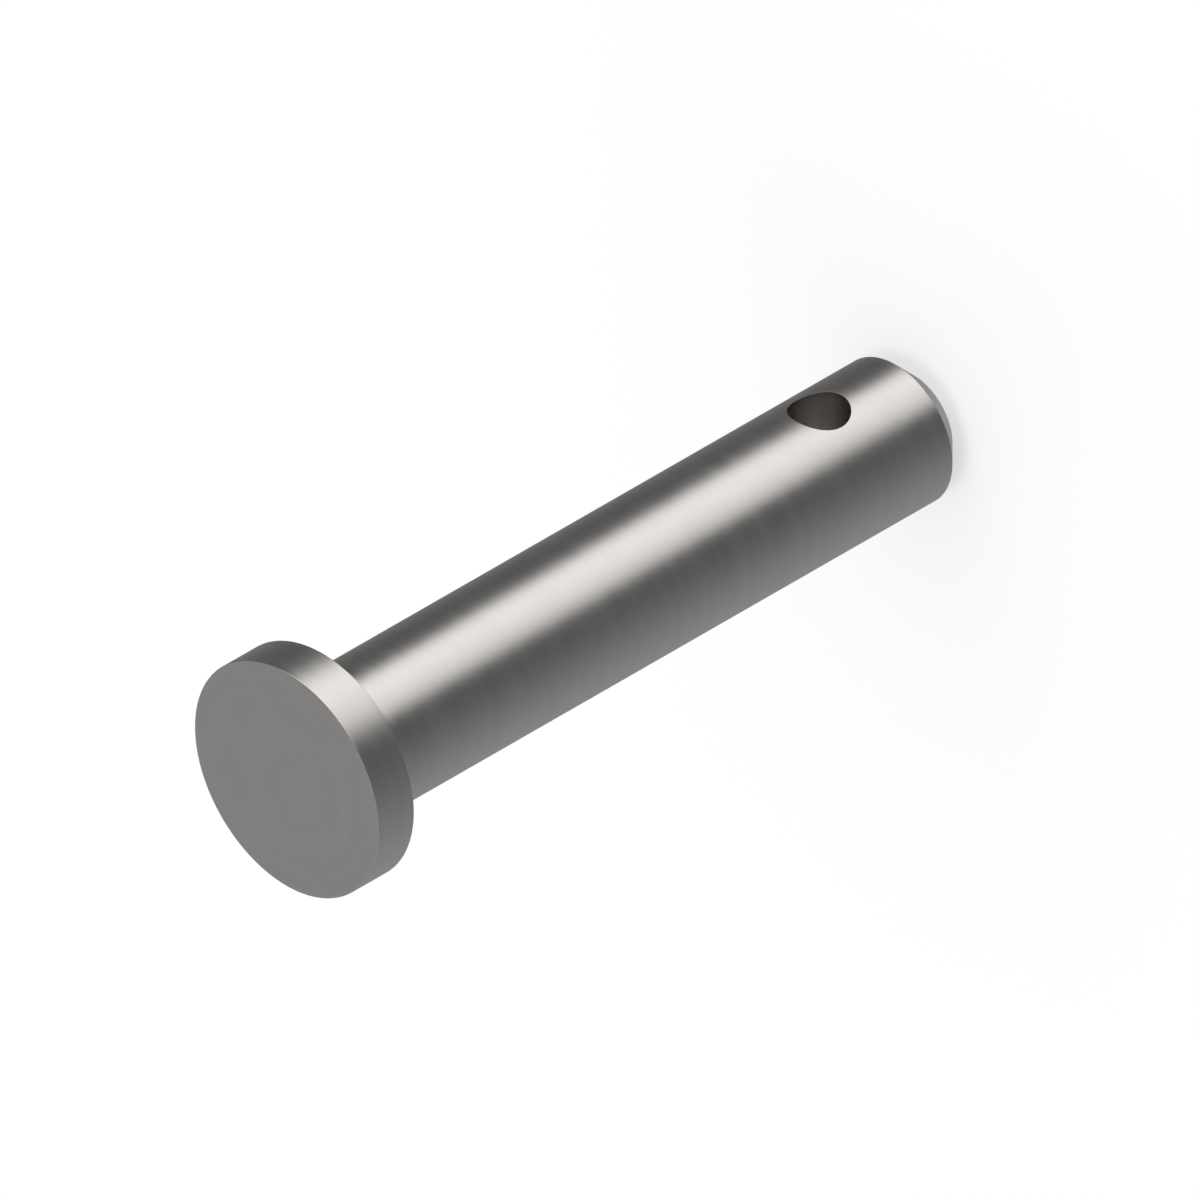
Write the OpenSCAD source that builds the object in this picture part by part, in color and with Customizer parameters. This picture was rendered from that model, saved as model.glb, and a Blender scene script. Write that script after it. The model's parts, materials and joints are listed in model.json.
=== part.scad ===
// Headed clevis pin for a hydraulic valve linkage, turned in one piece from steel bar.
// It stands on its tip, on the origin, with its head up and its cross hole along X.

/* [Head] */
// Diameter of the head
head_d = 12.9; // [11.5:0.1:16]
// Thickness of the head
head_h = 2.45; // [1.5:0.05:4]
// Edge break turned on both rims of the head, along each side
edge_break = 0.05; // [0.02:0.01:0.3]

/* [Shank] */
// Diameter of the shank
shank_d = 8; // [7:0.1:9]
// Length of the shank, from under the head to the tip
shank_l = 41.4; // [25:0.1:70]
// Radius of the fillet where the shank meets the head
neck_r = 0.3; // [0.1:0.05:0.6]
// Chamfer at the tip, along each side
tip_chamfer = 1.25; // [0.5:0.05:2]

/* [Split pin hole] */
// Diameter of the cross hole
hole_d = 3.2; // [2:0.1:4]
// Distance from the tip to the axis of the cross hole
hole_to_tip = 6.6; // [4.5:0.1:10]

/* [Hidden] */
// Facets of a full circle in the preview
$fn = 96;
// Length by which a cutting tool runs past the face that it leaves
overrun = 1;
head_r = head_d / 2;
shank_r = shank_d / 2;
total_l = shank_l + head_h;

// Half section of the shank: a bar with its lower corner cut at 45 degrees
module shank_section() {
    polygon([
        [0, 0],
        [shank_r - tip_chamfer, 0],
        [shank_r, tip_chamfer],
        [shank_r, shank_l],
        [0, shank_l]
    ]);
}

// Half section of the head: a disc with both rims broken
module head_section() {
    polygon([
        [0, shank_l],
        [head_r - edge_break, shank_l],
        [head_r, shank_l + edge_break],
        [head_r, total_l - edge_break],
        [head_r - edge_break, total_l],
        [0, total_l]
    ]);
}

// Half section of the fillet: the corner under the head, less a quarter circle
module neck_section() {
    difference() {
        translate([shank_r, shank_l - neck_r])
            square(neck_r);
        translate([shank_r + neck_r, shank_l - neck_r])
            circle(r = neck_r);
    }
}

// Everything that the lathe leaves, as one solid of revolution
module turned_blank() {
    rotate_extrude()
        union() {
            shank_section();
            head_section();
            neck_section();
        }
}

// Cross hole for the split pin, drilled along X right through the shank
module split_pin_hole() {
    translate([0, 0, hole_to_tip])
        rotate([0, 90, 0])
            cylinder(d = hole_d, h = shank_d + 2 * overrun, center = true);
}

module pin() {
    color("silver")
        difference() {
            turned_blank();
            split_pin_hole();
        }
}

pin();
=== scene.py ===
import json
from math import cos, pi, radians, sin

import bmesh
import bpy
import numpy as np
from mathutils import Matrix, Vector


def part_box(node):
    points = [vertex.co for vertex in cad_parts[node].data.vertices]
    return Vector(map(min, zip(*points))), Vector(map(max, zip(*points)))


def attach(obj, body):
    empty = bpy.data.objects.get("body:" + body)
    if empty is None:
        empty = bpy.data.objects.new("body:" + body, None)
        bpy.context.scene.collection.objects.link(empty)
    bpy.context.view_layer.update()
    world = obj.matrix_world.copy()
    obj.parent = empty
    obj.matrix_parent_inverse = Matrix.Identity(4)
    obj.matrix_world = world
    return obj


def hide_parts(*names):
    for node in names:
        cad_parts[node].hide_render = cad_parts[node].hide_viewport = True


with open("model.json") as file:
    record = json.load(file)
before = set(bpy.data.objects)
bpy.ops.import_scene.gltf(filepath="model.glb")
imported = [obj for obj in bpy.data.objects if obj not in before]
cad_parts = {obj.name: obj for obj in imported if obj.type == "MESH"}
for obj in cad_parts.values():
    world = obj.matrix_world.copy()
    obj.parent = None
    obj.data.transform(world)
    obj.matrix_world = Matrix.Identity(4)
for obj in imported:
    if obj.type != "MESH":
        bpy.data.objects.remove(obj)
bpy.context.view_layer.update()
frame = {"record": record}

mm = 0.001
micrometre = 0.001 * mm
mounts = {m["name"]: m for m in frame["record"]["mounts"]}
print("frame loaded")


def toLinear(hexColour):
    # sRGB hex to linear light, by the sRGB curve
    value = np.array([int(hexColour[i:i + 2], 16) for i in (0, 2, 4)]) / 255
    return np.where(value <= 0.04045, value / 12.92, ((value + 0.055) / 1.055) ** 2.4).tolist()


def addNode(tree, kind, settings, inputs):
    # adds one node: settings are its properties, inputs are plain values or the sockets linked to it
    node = tree.nodes.new(kind)
    for name, value in settings.items():
        setattr(node, name, value)
    for name, value in inputs.items():
        if isinstance(value, bpy.types.NodeSocket):
            tree.links.new(value, node.inputs[name])
        else:
            node.inputs[name].default_value = value
    return node


# The pin's sizes come from the frame: its box and its mounts

shankFit, holeFit = mounts["shank"], mounts["cross_hole"]
halfShank = shankFit["dims"]["length_mm"] * mm / 2
pin = {
    "headRadius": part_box("pin")[1].x,
    "length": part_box("pin")[1].z,
    "underHead": mounts["under_head"]["pos_m"][2],
    "shankRadius": shankFit["dims"]["r_mm"] * mm,
    "chamfer": shankFit["pos_m"][2] - halfShank,    # its height, and its width at 45 degrees
    "neckTop": shankFit["pos_m"][2] + halfShank,    # where the fillet starts
    "holeRadius": holeFit["dims"]["r_mm"] * mm,
    "holeHeight": holeFit["pos_m"][2],
    "edgeRound": 0.025 * mm,    # every turned edge
    "holeRound": 0.01 * mm,     # both mouths of the cross hole
    "facets": 256,              # round the axis
    "tipArc": 6,                # steps along each rounded edge of the tip
    "headArc": 8,               # and of the head and its fillet
    "squareAngle": pi / 4,      # half the angle of the square of shank round a mouth
    "squareHalf": 3.2 * mm,     # half the height of that square
    "squareRows": 16,           # from a mouth to the sides of its square
    "rowCrowding": 1.5,         # power that draws those rows towards the mouth
    "mouthRows": 5,             # across the rounded edge of a mouth
    "boreRows": 12,             # from a mouth to the middle of the bore
    "weld": 0.001 * mm,         # points nearer than this become one
}
squareSteps = round(pin["facets"] * pin["squareAngle"] / pi)     # along each side of the square


def roundedProfile(corners, arcSteps):
    # Each corner (radius, height, rounding) becomes an arc that touches both of its sides.
    # A point one rounding further along each side keeps the flats flat.
    # The first and last corners stay as they are.
    path = [np.array(corners[0][:2])]
    for before, corner, after in zip(corners, corners[1:], corners[2:]):
        centre, rounding = np.array(corner[:2]), corner[2]
        if not rounding:
            path.append(centre)
            continue
        back = np.array(before[:2]) - centre
        on = np.array(after[:2]) - centre
        back, on = back / np.linalg.norm(back), on / np.linalg.norm(on)
        half = np.arccos(back @ on) / 2
        reach = rounding / np.tan(half)
        middle = centre + (back + on) / np.linalg.norm(back + on) * rounding / np.sin(half)
        start, end = centre + back * reach - middle, centre + on * reach - middle
        turn = pi - 2 * half
        share = np.linspace(0, 1, arcSteps + 1)[:, None]
        arc = middle + (np.sin((1 - share) * turn) * start + np.sin(share * turn) * end) / np.sin(turn)
        path += [centre + back * (reach + rounding), *arc, centre + on * (reach + rounding)]
    path.append(np.array(corners[-1][:2]))
    return np.array(path)


def turned(profile):
    # A profile of radius and height, carried once round the axis: x = r cos a, y = r sin a.
    # The last step is the first again, so the surface meets itself.
    steps = pin["facets"]
    angle = 2 * pi * (np.arange(steps + 1) % steps) / steps
    radius, height = profile[:, :1], profile[:, 1:]
    return np.stack(np.broadcast_arrays(radius * np.cos(angle), radius * np.sin(angle), height), axis=-1)


def onShank(angle, height):
    # A point of the shank's wall, by its angle from +X and its height
    radius = pin["shankRadius"]
    return np.stack(np.broadcast_arrays(radius * np.cos(angle), radius * np.sin(angle), height), axis=-1)


def squareEdge():
    # Once round the square of shank about a mouth: angle and height, from one lower corner
    up = np.linspace(-1, 1, squareSteps, endpoint=False)
    one = np.ones(squareSteps)
    across = np.concatenate([up, one, -up, -one, [-1]])
    rise = np.concatenate([-one, up, one, -up, [-1]])
    return across * pin["squareAngle"], rise * pin["squareHalf"]


def mouthSurfaces():
    # The square of shank round the +X mouth, then the mouth's rounded edge, then half of the bore
    radius, bore, soft = pin["shankRadius"], pin["holeRadius"], pin["holeRound"]
    squareX, squareZ = squareEdge()
    turn = np.arctan2(squareZ, squareX * radius)

    def depthOf(across):
        # how far out the shank's wall is, at a distance across from the hole's axis
        return np.sqrt(radius ** 2 - across ** 2)

    # straight lines on the unrolled wall, from the mouth to the square, closer together near the mouth
    wide = bore + soft
    startAngle, startRise = np.arcsin(wide * np.cos(turn) / radius), wide * np.sin(turn)
    share = (np.linspace(0, 1, pin["squareRows"] + 1) ** pin["rowCrowding"])[:, None]
    wall = onShank(startAngle + (squareX - startAngle) * share,
                   pin["holeHeight"] + startRise + (squareZ - startRise) * share)

    def ring(distance, sunk):
        # once round the hole, at a distance from its axis and a depth below the shank's wall
        across, rise = distance * np.cos(turn), distance * np.sin(turn)
        return np.stack([depthOf(across) - sunk, across, pin["holeHeight"] + rise], axis=-1)

    # the edge is a quadratic curve from the wall to the bore, pulled towards the sharp corner
    share = np.linspace(0, 1, pin["mouthRows"] + 1)[:, None, None]
    outer, corner, inner = ring(wide, 0), ring(bore, 0), ring(bore, soft)
    edge = (1 - share) ** 2 * outer + 2 * share * (1 - share) * corner + share ** 2 * inner

    # the bore runs from the edge to the middle of the pin
    share = np.linspace(0, 1, pin["boreRows"] + 1)[:, None]
    depth, across, height = inner.T
    halfBore = np.stack(np.broadcast_arrays(depth * (1 - share), across, height), axis=-1)
    return [wall, edge, halfBore]


def closedMesh(name, grids):
    # Quads between neighbouring points of every grid; points that coincide are merged, which closes
    # the seams and the poles, and all faces are turned outwards
    points, quads, start = [], [], 0
    for grid in grids:
        rows, columns = grid.shape[:2]
        index = start + np.arange(rows * columns).reshape(rows, columns)
        quad = np.stack([index[:-1, :-1], index[:-1, 1:], index[1:, 1:], index[1:, :-1]], axis=-1)
        quads.append(quad.reshape(-1, 4))
        points.append(grid.reshape(-1, 3))
        start += rows * columns
    mesh = bpy.data.meshes.new(name)
    mesh.from_pydata(np.concatenate(points).tolist(), [], np.concatenate(quads).tolist())
    work = bmesh.new()
    work.from_mesh(mesh)
    bmesh.ops.remove_doubles(work, verts=work.verts, dist=pin["weld"])
    bmesh.ops.recalc_face_normals(work, faces=work.faces)
    openEdges = sum(not edge.is_manifold for edge in work.edges)
    work.to_mesh(mesh)
    work.free()
    mesh.shade_smooth()
    print(name, len(mesh.polygons), "faces,", openEdges, "open edges")
    return mesh


def makePin():
    # Lower and upper turned stretches, and between them the band of shank that the cross hole breaks:
    # a square round each mouth, and the wall beside the squares
    radius, soft = pin["shankRadius"], pin["edgeRound"]
    bandLow, bandHigh = pin["holeHeight"] - pin["squareHalf"], pin["holeHeight"] + pin["squareHalf"]
    lower = roundedProfile([
        (0, 0),
        (radius - pin["chamfer"], 0, soft),
        (radius, pin["chamfer"], soft),
        (radius, bandLow),
    ], pin["tipArc"])
    upper = roundedProfile([
        (radius, bandHigh),
        (radius, pin["underHead"], pin["underHead"] - pin["neckTop"]),
        (pin["headRadius"], pin["underHead"], soft),
        (pin["headRadius"], pin["length"], soft),
        (0, pin["length"]),
    ], pin["headArc"])
    steps, corner = pin["facets"], squareSteps // 2
    beside = 2 * pi * np.arange(corner, steps // 2 - corner + 1) / steps
    height = np.linspace(bandLow, bandHigh, squareSteps + 1)[:, None]
    grids = [turned(lower), turned(upper), onShank(beside, height), onShank(beside + pi, height)]
    for side in (1, -1):
        grids += [grid * [side, 1, 1] for grid in mouthSurfaces()]
    piece = bpy.data.objects.new("turned_pin", closedMesh("turned_pin", grids))
    bpy.context.scene.collection.objects.link(piece)
    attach(piece, "root")
    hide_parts("pin")
    return piece


# Finish: plain carbon steel, turned and left bare. It is satin, with rings that only show up close,
# partly as painted light and shade in its colour.

steel = {
    "paler": "D4D1CE",
    "darker": "C6C3C0",
    "ringShare": 0.6,           # how far the rings' painted light and shade, and not the random patches of tone, make the metal paler and darker
    "cloudSize": 1.6,           # mm, size of those patches
    "cloudDetail": (3, 0.55),   # finer layers of noise in them, and each one's share of the last
    "ringSpacing": 0.5,         # mm between tool marks; real ones are some 0.08 mm, too fine to show
    "ringDetail": (1, 0.5),     # as for the patches
    "ringDepth": 0.3,           # micrometres
    "ringArc": 6,               # mm that a mark keeps its depth on its way round
    "roughness": (0.275, 0.3),
    "roughFrom": (0.3, 0.7),    # values of the ring noise that give those two
}


def turnedSteel():
    # Turned plain steel: a warm grey metal, satin because its fine rings blur what it reflects.
    # A Mix node's inputs go by number: 0 is its share, 2 and 3 its values, 6 and 7 its colours.
    material = bpy.data.materials.new("turned plain steel")
    material.use_nodes = True
    tree = material.node_tree
    tree.nodes.clear()

    place = addNode(tree, "ShaderNodeTexCoord", {}, {})
    inMm = addNode(tree, "ShaderNodeVectorMath", {"operation": "SCALE"},
                   {0: place.outputs["Object"], "Scale": 1 / mm})
    position = inMm.outputs["Vector"]
    apart = addNode(tree, "ShaderNodeSeparateXYZ", {}, {0: position})
    x, y, z = (apart.outputs[i] for i in range(3))

    # the lathe's feed is radius + height: it runs along the shank and the rim, and across the flat faces
    flat = addNode(tree, "ShaderNodeVectorMath", {"operation": "MULTIPLY"}, {0: position, 1: (1, 1, 0)})
    radius = addNode(tree, "ShaderNodeVectorMath", {"operation": "LENGTH"}, {0: flat.outputs["Vector"]})
    feed = addNode(tree, "ShaderNodeMath", {"operation": "ADD"}, {0: radius.outputs["Value"], 1: z})

    # inside the cross hole, which is within its radius of its axis, the drill's feed is x
    fromHole = addNode(tree, "ShaderNodeVectorMath", {"operation": "SUBTRACT"},
                       {0: position, 1: (0, 0, pin["holeHeight"] / mm)})
    across = addNode(tree, "ShaderNodeVectorMath", {"operation": "MULTIPLY"},
                     {0: fromHole.outputs["Vector"], 1: (0, 1, 1)})
    offAxis = addNode(tree, "ShaderNodeVectorMath", {"operation": "LENGTH"},
                      {0: across.outputs["Vector"]})
    drilled = addNode(tree, "ShaderNodeMath", {"operation": "LESS_THAN"},
                      {0: offAxis.outputs["Value"], 1: (pin["holeRadius"] + pin["holeRound"] / 2) / mm})
    along = addNode(tree, "ShaderNodeMix", {}, {0: drilled.outputs[0], 2: feed.outputs[0], 3: x})

    # rings: noise that changes fast along the feed and slowly round the pin; it drives the bump, the
    # roughness and painted shade in the colour
    alongScaled = addNode(tree, "ShaderNodeMath", {"operation": "DIVIDE"},
                          {0: along.outputs[0], 1: steel["ringSpacing"]})
    slow = addNode(tree, "ShaderNodeVectorMath", {"operation": "SCALE"},
                   {0: flat.outputs["Vector"], "Scale": 1 / steel["ringArc"]})
    ringPlace = addNode(tree, "ShaderNodeCombineXYZ", {}, {2: alongScaled.outputs[0]})
    ringAt = addNode(tree, "ShaderNodeVectorMath", {"operation": "ADD"},
                     {0: slow.outputs["Vector"], 1: ringPlace.outputs[0]})
    layers, share = steel["ringDetail"]
    rings = addNode(tree, "ShaderNodeTexNoise", {}, {
        "Vector": ringAt.outputs["Vector"], "Scale": 1, "Detail": layers, "Roughness": share,
    })
    layers, share = steel["cloudDetail"]
    clouds = addNode(tree, "ShaderNodeTexNoise", {}, {
        "Vector": position, "Scale": 1 / steel["cloudSize"], "Detail": layers, "Roughness": share,
    })

    # colour: random patches of tone, mixed with the rings painted as paler and darker metal, which is
    # painted light and shade standing in for the slopes of the tool marks
    toneAndRingShade = addNode(tree, "ShaderNodeMix", {}, {
        0: steel["ringShare"], 2: clouds.outputs["Fac"], 3: rings.outputs["Fac"],
    })
    colour = addNode(tree, "ShaderNodeMix", {"data_type": "RGBA"}, {
        0: toneAndRingShade.outputs[0],
        6: (*toLinear(steel["darker"]), 1),
        7: (*toLinear(steel["paler"]), 1),
    })
    low, high = steel["roughFrom"]
    smooth, rough = steel["roughness"]
    roughness = addNode(tree, "ShaderNodeMapRange", {}, {
        "Value": rings.outputs["Fac"],
        "From Min": low, "From Max": high, "To Min": smooth, "To Max": rough,
    })
    bump = addNode(tree, "ShaderNodeBump", {}, {
        "Height": rings.outputs["Fac"], "Strength": 1, "Distance": steel["ringDepth"] * micrometre,
    })
    shader = addNode(tree, "ShaderNodeBsdfPrincipled", {}, {
        "Base Color": colour.outputs[2],
        "Metallic": 1,
        "Roughness": roughness.outputs["Result"],
        "Normal": bump.outputs["Normal"],
    })
    addNode(tree, "ShaderNodeOutputMaterial", {}, {"Surface": shader.outputs["BSDF"]})
    return material


pinPiece = makePin()
pinPiece.data.materials.append(turnedSteel())
print("pin made")


# Studio: a white floor, a soft panel on the pin's +X side, a smaller light behind, and grey walls
# that pale to the far side

studio = {
    "panelTurn": -5.7,              # degrees from +X to the middle of the panel
    "panelEdge": (37.8, 54),        # degrees from that middle over which the panel fades
    "panelLight": (1.456, 1.22),    # well below the horizon, and above it
    "panelFall": (-0.4, 0.1),       # heights, as sines, over which it changes from one to the other
    "panelLean": 0.54,              # how much brighter it is for each unit towards +Y
    "backTurn": 150,                # degrees from +X to the middle of the smaller light behind
    "backEdge": (8, 26),            # degrees from that middle over which it fades
    "backLight": 0.8,
    "wallLight": (0.017, 0.384),    # towards +X, and away from it
    "wallCurve": 1.44,              # power of the way from one to the other
    "ceilingEdge": 24.5,            # degrees above the horizon where the walls start to pale
    "ceilingLight": 0.28,           # what is added straight above
    "baseEdge": -32,                # the same below
    "baseLight": 0.23,
    "floorSide": 4.0,               # metres, as are the lamp's height and side
    "floorHeight": -0.01 * mm,      # a hair under the tip, so that the two faces don't flicker
    "floorColour": "AEAEAE",
    "floorGlow": 0.6,               # share of the floor's white that needs no lamp
    "lampHeight": 1.0,
    "lampSide": 1.2,
    "lampPower": 8.0,               # watts
}


def seenDirectly(tree):
    # 1 for what the camera sees, also through something clear, and 0 for all other light
    path = addNode(tree, "ShaderNodeLightPath", {}, {})
    either = addNode(tree, "ShaderNodeMath", {"operation": "MAXIMUM"},
                     {0: path.outputs["Is Camera Ray"], 1: path.outputs["Is Transmission Ray"]})
    return either.outputs[0]


def makeWorld():
    # Light by direction: a panel and a smaller light behind, which fade with the angle from their
    # middles, plus a grey that rises from +X to -X, plus a paler ceiling and base.
    # The camera itself sees white.
    world = bpy.data.worlds.new("studio")
    bpy.context.scene.world = world
    world.use_nodes = True
    tree = world.node_tree
    tree.nodes.clear()
    look = addNode(tree, "ShaderNodeTexCoord", {}, {}).outputs["Generated"]
    apart = addNode(tree, "ShaderNodeSeparateXYZ", {}, {0: look})
    x, y, z = (apart.outputs[i] for i in range(3))

    # near + (far - near) * share ** curve, where the share is 0 at +X and 1 at -X
    near, far = studio["wallLight"]
    share = addNode(tree, "ShaderNodeMapRange", {}, {"Value": x, "From Min": 1, "From Max": -1})
    curve = addNode(tree, "ShaderNodeMath", {"operation": "POWER"},
                    {0: share.outputs["Result"], 1: studio["wallCurve"]})
    wall = addNode(tree, "ShaderNodeMath", {"operation": "MULTIPLY_ADD"},
                   {0: curve.outputs[0], 1: far - near, 2: near})

    # the ceiling and the base add nothing at their edges and most at their poles, straight up and down
    ends = []
    for end, pole in (("ceiling", 1), ("base", -1)):
        ends.append(addNode(tree, "ShaderNodeMapRange", {"interpolation_type": "SMOOTHSTEP"}, {
            "Value": z, "From Min": sin(radians(studio[end + "Edge"])), "From Max": pole,
            "To Min": 0, "To Max": studio[end + "Light"],
        }).outputs["Result"])
    ceilingAndBase = addNode(tree, "ShaderNodeMath", {"operation": "ADD"}, {0: ends[0], 1: ends[1]})

    def softLight(turn, edge, brightness):
        # a round light at the horizon: full within the first angle of its edge, nothing past the second
        middle = (cos(radians(turn)), sin(radians(turn)), 0)
        towards = addNode(tree, "ShaderNodeVectorMath", {"operation": "DOT_PRODUCT"},
                          {0: look, 1: middle})
        inner, outer = (cos(radians(angle)) for angle in edge)
        return addNode(tree, "ShaderNodeMapRange", {"interpolation_type": "SMOOTHSTEP"}, {
            "Value": towards.outputs["Value"], "From Min": outer, "From Max": inner,
            "To Min": 0, "To Max": brightness,
        }).outputs["Result"]

    # the panel's brightness goes by height, times 1 + lean * y
    lowEnd, highEnd = studio["panelFall"]
    lowLight, highLight = studio["panelLight"]
    brightness = addNode(tree, "ShaderNodeMapRange", {}, {
        "Value": z,
        "From Min": lowEnd, "From Max": highEnd, "To Min": lowLight, "To Max": highLight,
    })
    panel = softLight(studio["panelTurn"], studio["panelEdge"], brightness.outputs["Result"])
    lean = addNode(tree, "ShaderNodeMath", {"operation": "MULTIPLY_ADD"},
                   {0: y, 1: studio["panelLean"], 2: 1})
    leaning = addNode(tree, "ShaderNodeMath", {"operation": "MULTIPLY"}, {0: panel, 1: lean.outputs[0]})

    light = softLight(studio["backTurn"], studio["backEdge"], studio["backLight"])
    for part in (wall, ceilingAndBase, leaning):
        both = addNode(tree, "ShaderNodeMath", {"operation": "ADD"}, {0: light, 1: part.outputs[0]})
        light = both.outputs[0]
    strength = addNode(tree, "ShaderNodeMix", {}, {0: seenDirectly(tree), 2: light, 3: 1})
    background = addNode(tree, "ShaderNodeBackground", {},
                         {"Color": (1, 1, 1, 1), "Strength": strength.outputs[0]})
    addNode(tree, "ShaderNodeOutputWorld", {}, {"Surface": background.outputs[0]})


def makeFloor():
    # White and matt; some of its white is its own, so that the pin's shadow stays faint.
    # The photographed steel doesn't show its white background, so the floor neither shows in the pin
    # nor shades it.
    half, height = studio["floorSide"] / 2, studio["floorHeight"]
    corners = [(x * half, y * half, height) for x, y in ((-1, -1), (1, -1), (1, 1), (-1, 1))]
    mesh = bpy.data.meshes.new("floor")
    mesh.from_pydata(corners, [], [(0, 1, 2, 3)])
    floor = bpy.data.objects.new("floor", mesh)
    bpy.context.scene.collection.objects.link(floor)
    material = bpy.data.materials.new("white studio floor")
    material.use_nodes = True
    tree = material.node_tree
    tree.nodes.clear()
    matt = addNode(tree, "ShaderNodeBsdfDiffuse", {}, {"Color": (*toLinear(studio["floorColour"]), 1)})
    share = addNode(tree, "ShaderNodeMath", {"operation": "MULTIPLY"},
                    {0: seenDirectly(tree), 1: studio["floorGlow"]})
    glow = addNode(tree, "ShaderNodeEmission", {}, {"Strength": share.outputs[0]})
    both = addNode(tree, "ShaderNodeAddShader", {}, {0: matt.outputs[0], 1: glow.outputs[0]})
    addNode(tree, "ShaderNodeOutputMaterial", {}, {"Surface": both.outputs[0]})
    mesh.materials.append(material)
    floor.visible_glossy = False
    floor.visible_shadow = False


def makeLamp():
    # A wide soft lamp overhead lights the floor; for metal, the world's paler ceiling stands for it
    data = bpy.data.lights.new("overhead lamp", "AREA")
    data.shape = "SQUARE"
    data.size = studio["lampSide"]
    data.energy = studio["lampPower"]
    lamp = bpy.data.objects.new("overhead lamp", data)
    bpy.context.scene.collection.objects.link(lamp)
    lamp.location = (0, 0, studio["lampHeight"])
    lamp.visible_glossy = False


makeWorld()
makeFloor()
makeLamp()
print("studio made")


# Camera: the photograph's view of the pin, which there lies level with its hole upright.
# Here the pin stands on its tip, so the photograph's up is +X and its way from tip to head is +Z.

view = {
    "turn": 45,                     # degrees between the line of sight and the pin, seen from above
    "drop": 35,                     # degrees that the camera looks down
    "frame": 1200,                  # pixels across the photograph
    "headCentre": (286.4, 779.1),   # pixel of the middle of the head's face
    "pixelsPerMm": 20.2,
    "distance": 0.4,                # metres
}


def makeCamera():
    # A parallel view, aimed at the target: the middle of the head's face, moved across the picture
    # by as much as its pixel lies off the middle one
    turn, drop = radians(view["turn"]), radians(view["drop"])
    right = Vector((0, -sin(turn), -cos(turn)))
    up = Vector((cos(drop), sin(turn) * sin(drop), -cos(turn) * sin(drop)))
    back = right.cross(up)
    pixel = mm / view["pixelsPerMm"]
    middle = (view["frame"] - 1) / 2
    x, y = view["headCentre"]
    target = Vector((0, 0, pin["length"])) + right * (middle - x) * pixel + up * (y - middle) * pixel
    data = bpy.data.cameras.new("camera")
    data.type = "ORTHO"
    data.ortho_scale = view["frame"] * pixel
    data.clip_start = mm
    camera = bpy.data.objects.new("camera", data)
    bpy.context.scene.collection.objects.link(camera)
    camera.matrix_world = Matrix.LocRotScale(
        target + back * view["distance"], Matrix((right, up, back)).transposed().to_quaternion(), None)
    bpy.context.scene.camera = camera


makeCamera()
bpy.context.scene.view_settings.view_transform = "Standard"
print("camera made")
